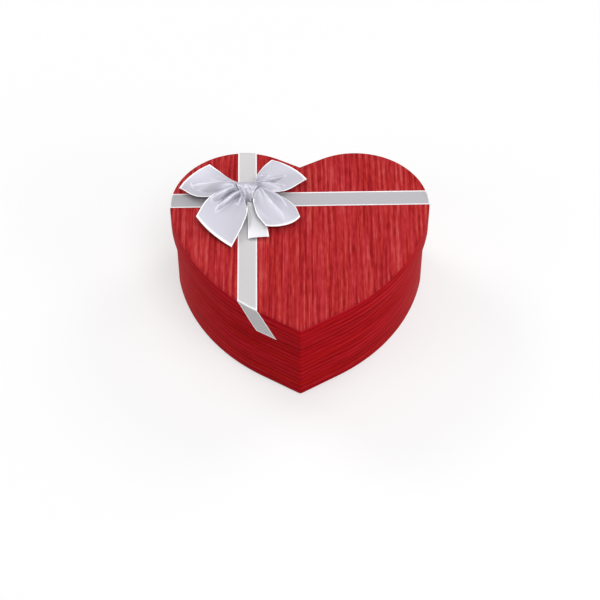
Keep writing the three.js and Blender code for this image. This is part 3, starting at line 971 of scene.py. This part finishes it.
def loop_edge(upper, opposite):
    """One edge of a loop: out along the lower ply, round the fold, and back along the upper ply to the
    waist. The lower ply is narrower, so that the upper one hides it from above."""
    waist, near, far, corner = (Vector(point) for point in upper)
    under_far = far.lerp(Vector(opposite[2]), LOWER_PLY_INSET)
    under_near = near.lerp(Vector(opposite[1]), LOWER_PLY_INSET)
    far_height = max(LOWER_PLY_HEIGHT, min(far.z, corner.z) - LOWER_PLY_FALL)
    lower = [
        drawn_in(waist, 1, LOWER_PLY_HEIGHT + LOWER_PLY_WAIST_RISE),
        drawn_in(under_near, LOWER_PLY, LOWER_PLY_HEIGHT + LOWER_PLY_MIDDLE_RISE),
        drawn_in(under_far, LOWER_PLY, far_height),
    ]
    fold = [
        lifted(corner, -FOLD_THICKNESS).lerp(lower[-1], LOWER_BEND_BACK),
        lifted(corner, -FOLD_THICKNESS / 2),
        lifted(corner, UPPER_BEND_RISE).lerp(lifted(far, UPPER_BEND_RISE), UPPER_BEND_BACK),
    ]
    return [*lower, *fold, far, near, waist]


def gathered(gathers, across, out):
    """How far the gathers lift a point of the upper ply, and push it across. Each is a rounded ridge with
    a crease round it, from the waist to a blunt or a fading end."""
    up = sideways = 0
    for gather in gathers:
        run = out / gather["reach"]
        if run < 1:
            at_waist, at_end = gather["across"]
            wide_at_waist, wide_at_end = gather["width"]
            middle = at_waist + (at_end - at_waist) * run
            width = wide_at_waist + (wide_at_end - wide_at_waist) * run
            fall_off = run ** gather.get("end", USUAL_END_POWER)
            ridge = max(0, 1 - ((across - middle) / width) ** 2 - fall_off)
            up += gather["height"] * ridge
            sideways += gather["lean"] * ridge
    return up, sideways


def crown_at(across):
    """The rounding of a ribbon across its width: 0 at its edges and 1 in its middle."""
    return 1 - (2 * across - 1) ** 2


def add_loop(name, loop):
    """A loop of the bow, folded from a length of the wide ribbon and gathered at the knot."""
    right = loop_edge(loop["right"], loop["left"])
    left = loop_edge(loop["left"], loop["right"])

    def shape(across, along):
        crown = crown_at(across)
        out = 1 - abs(2 * along - 1)
        to_fold = min(out / FULL_BULGE, 1)
        outwards = loop["bulge"] * crown * to_fold**3
        wave = abs(math.sin(math.pi * SMALL_PLEATS * across))
        pleats = SMALL_PLEAT_HEIGHT * wave * (1 - smooth_share(out / PLEAT_REACH))
        # The lower ply has no gathers
        if along < 0.5:
            return outwards, pleats, 0
        held = smooth_share(out / KNOT_HOLD)
        up, sideways = gathered(loop["gathers"], across, out)
        up += loop["crown"] * crown * math.sin(math.pi * to_fold)
        return outwards, up * held + pleats * UPPER_PLEAT_SHARE, sideways * held

    shares, lines, flat = ribbon_surface(right, left, LOOP_STEPS, LOOP_FIELDS, BOW_RIBBON_WIDTH, shape)
    piece = add_ribbon(f"bow_{name}_satin", shares, lines, BOW_RIBBON, BOW_SELVEDGE)
    finish_piece(piece, "lid", bow_satin, f"bow_loop_{name}", smooth=60)


def add_knot():
    """The band tied round the waists of the loops, gathered to less than its width."""
    right = [
        (7.5, 7, 5),
        (10.4, 6.6, 10),
        (10.6, 2.4, 13.2),
        (8.6, -2.8, 12.4),
        (6.8, -6.8, 9),
        (5.2, -8.6, 5),
        (4.2, -6.5, 2.4),
    ]
    left = [
        (-4.5, 8, 5),
        (-6, 8.2, 10),
        (-5.2, 4, 13.4),
        (-3.4, -1, 12.6),
        (-0.6, -6, 9.4),
        (2, -8.6, 5),
        (2.6, -6.5, 2.4),
    ]

    def shape(across, along):
        crown = crown_at(across)
        over = math.sin(math.pi * along)
        back = math.cos(math.pi * along)
        crease = abs(math.sin(math.pi * (KNOT_CREASES * across + KNOT_CREASE_SLANT * along)))
        outwards = KNOT_CROWN * crown * back + KNOT_BACK_CREASE * crease * max(back, 0)
        up = KNOT_CROWN * crown**KNOT_FLATNESS * over + KNOT_TOP_CREASE * crease * over
        return outwards, up, 0

    shares, lines, flat = ribbon_surface(right, left, KNOT_STEPS, KNOT_FIELDS, KNOT_RIBBON_WIDTH, shape)
    piece = add_ribbon("bow_knot_satin", shares, lines, BOW_RIBBON, BOW_SELVEDGE)
    finish_piece(piece, "lid", knot_satin_painted_shade, "bow_knot", smooth=60)


def add_tail():
    """The tail that hangs from the knot and lies on the lid, cut straight."""
    right = [(3.4, -6, 6), (3.2, -14, 4.2), (3.6, -26, 2), (4, -36, 1.6), (4.2, -45.6, 1.7)]
    left = [(8.2, -6, 6), (12, -14, 4.2), (18.2, -26, 2.2), (20.6, -36, 1.6), (21.6, -44, 2)]

    def shape(across, along):
        rounding = TAIL_START_CROWN * (1 - along) + TAIL_END_CROWN * along**2
        return 0, rounding * crown_at(across), 0

    shares, lines, flat = ribbon_surface(right, left, TAIL_STEPS, TAIL_FIELDS, TAIL_WIDTH, shape)
    piece = add_ribbon("bow_tail_satin", shares, lines, BOW_RIBBON, BOW_SELVEDGE)
    finish_piece(piece, "lid", tail_satin_painted_light, "bow_tail", smooth=60)


def add_glue():
    """The bead of hot glue under the knot, pressed between the ribbons."""
    low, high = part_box("bow_glue_dot")
    size = high - low
    middle = (low + high) / 2
    bpy.ops.mesh.primitive_cylinder_add(vertices=32, radius=size.x / 2, depth=size.z, location=middle)
    piece = bpy.context.object
    piece.name = "bow_glue_bead"
    bpy.ops.object.transform_apply(location=True, rotation=False, scale=False)
    round_edges(piece, GLUE_ROUND, segments=4, least_turn=60)
    finish_piece(piece, "lid", glue, "bow_glue_dot", smooth=60)


def add_camera():
    """The camera as fitted to the lid's outline in the photograph."""
    target = Vector((-0.3, -67.79, LID_TOP)) * MM
    elevation = math.radians(50)
    turn = math.radians(-0.205)
    distance = 1.4
    level = math.cos(elevation)
    back = Vector((math.sin(turn) * level, -math.cos(turn) * level, math.sin(elevation)))
    lens = bpy.data.cameras.new("camera")
    lens.lens = 103.74
    lens.sensor_width = 36
    lens.clip_start, lens.clip_end = 0.01, 50
    camera = bpy.data.objects.new("camera", lens)
    camera.location = target + back * distance
    camera.rotation_mode = "QUATERNION"
    camera.rotation_quaternion = (-back).to_track_quat("-Z", "Y")
    bpy.context.collection.objects.link(camera)
    bpy.context.scene.camera = camera


def add_softbox(name, place, size, power):
    """A round softbox that faces the middle of the box."""
    lamp = bpy.data.lights.new(name, "AREA")
    lamp.shape = "DISK"
    lamp.size = size
    lamp.energy = power
    light = bpy.data.objects.new(name, lamp)
    light.location = place
    light.rotation_mode = "QUATERNION"
    light.rotation_quaternion = (BOX_MIDDLE - light.location).to_track_quat("-Z", "Y")
    bpy.context.collection.objects.link(light)


def background_rays(material):
    """1 for the rays that show the background: to the camera, off a gloss, or through something clear."""
    paths = add_node(material, "ShaderNodeLightPath")
    seen = paths.outputs["Is Camera Ray"]
    for ray in ("Is Glossy Ray", "Is Transmission Ray"):
        inputs = {0: seen, 1: paths.outputs[ray]}
        seen = add_node(material, "ShaderNodeMath", inputs, operation="MAXIMUM").outputs[0]
    return seen


def backdrop_paper():
    """Paper that looks whiter than the light that it throws on the box, and fades to white away from it."""
    material, shader = new_material("white_backdrop_paper")
    seen = background_rays(material)
    inputs = {"Factor": seen, "A": linear("#aeaeae"), "B": linear("#f4f4f4")}
    colour = add_node(material, "ShaderNodeMix", inputs, data_type="RGBA").outputs["Result"]
    join_inputs(material, shader, {"Base Color": colour, "Roughness": 0.9})
    place = add_node(material, "ShaderNodeTexCoord").outputs["Object"]
    away = add_node(material, "ShaderNodeVectorMath", {0: place}, operation="LENGTH").outputs["Value"]
    inputs = {"Value": away, "From Min": 0.2, "From Max": 0.7, "To Min": 0.5, "To Max": 1.0}
    whiteness = add_node(material, "ShaderNodeMapRange", inputs).outputs[0]
    glow = add_node(material, "ShaderNodeMath", {0: seen, 1: whiteness}, operation="MULTIPLY")
    white = add_node(material, "ShaderNodeEmission", {"Color": (1, 1, 1, 1), "Strength": 1.0})
    inputs = {0: glow.outputs[0], 1: shader.outputs[0], 2: white.outputs[0]}
    lit = add_node(material, "ShaderNodeMixShader", inputs)
    join_inputs(material, material.node_tree.nodes["Material Output"], {"Surface": lit.outputs[0]})
    return material


def add_floor():
    """The floor, a little below the box."""
    bpy.ops.mesh.primitive_plane_add(size=FLOOR_SIZE, location=(0, 0, -FLOOR_DROP))
    floor = bpy.context.object
    floor.name = "studio_floor"
    floor.data.transform(floor.matrix_world)
    floor.location = (0, 0, 0)
    floor.data.materials.append(backdrop_paper())


def light_surround():
    """The white surround, which also looks whiter than its light."""
    world = bpy.context.scene.world or bpy.data.worlds.new("world")
    bpy.context.scene.world = world
    world.use_nodes = True
    inputs = {"Value": background_rays(world), "To Min": 0.25, "To Max": 1.0}
    strength = add_node(world, "ShaderNodeMapRange", inputs).outputs[0]
    join_inputs(world, world.node_tree.nodes["Background"], {"Color": (1, 1, 1, 1), "Strength": strength})


def add_studio():
    """A white room, with softboxes over, behind, in front of and beside the box."""
    add_floor()
    light_surround()
    add_softbox("softbox_over", place=(0.1, 0.25, 1.75), size=1.0, power=3)
    add_softbox("softbox_back_left", place=(-1.1, 1.0, 1.1), size=0.8, power=10)
    add_softbox("softbox_back_right", place=(1.1, 1.0, 1.1), size=0.8, power=7.5)
    add_softbox("softbox_front", place=(0.4, -0.75, 1.65), size=0.9, power=13)
    add_softbox("softbox_left", place=(-1.3, -0.6, 0.7), size=0.7, power=4)
    add_softbox("softbox_right", place=(1.3, -0.8, 0.7), size=0.7, power=6.5)
    bpy.context.scene.view_settings.view_transform = "Standard"


add_boards()
add_base_papers()
add_lid_papers()
add_cross_ribbon()
add_long_ribbon()
for loop_name, loop_shape in LOOPS.items():
    add_loop(loop_name, loop_shape)
add_knot()
add_tail()
add_glue()
add_camera()
add_studio()
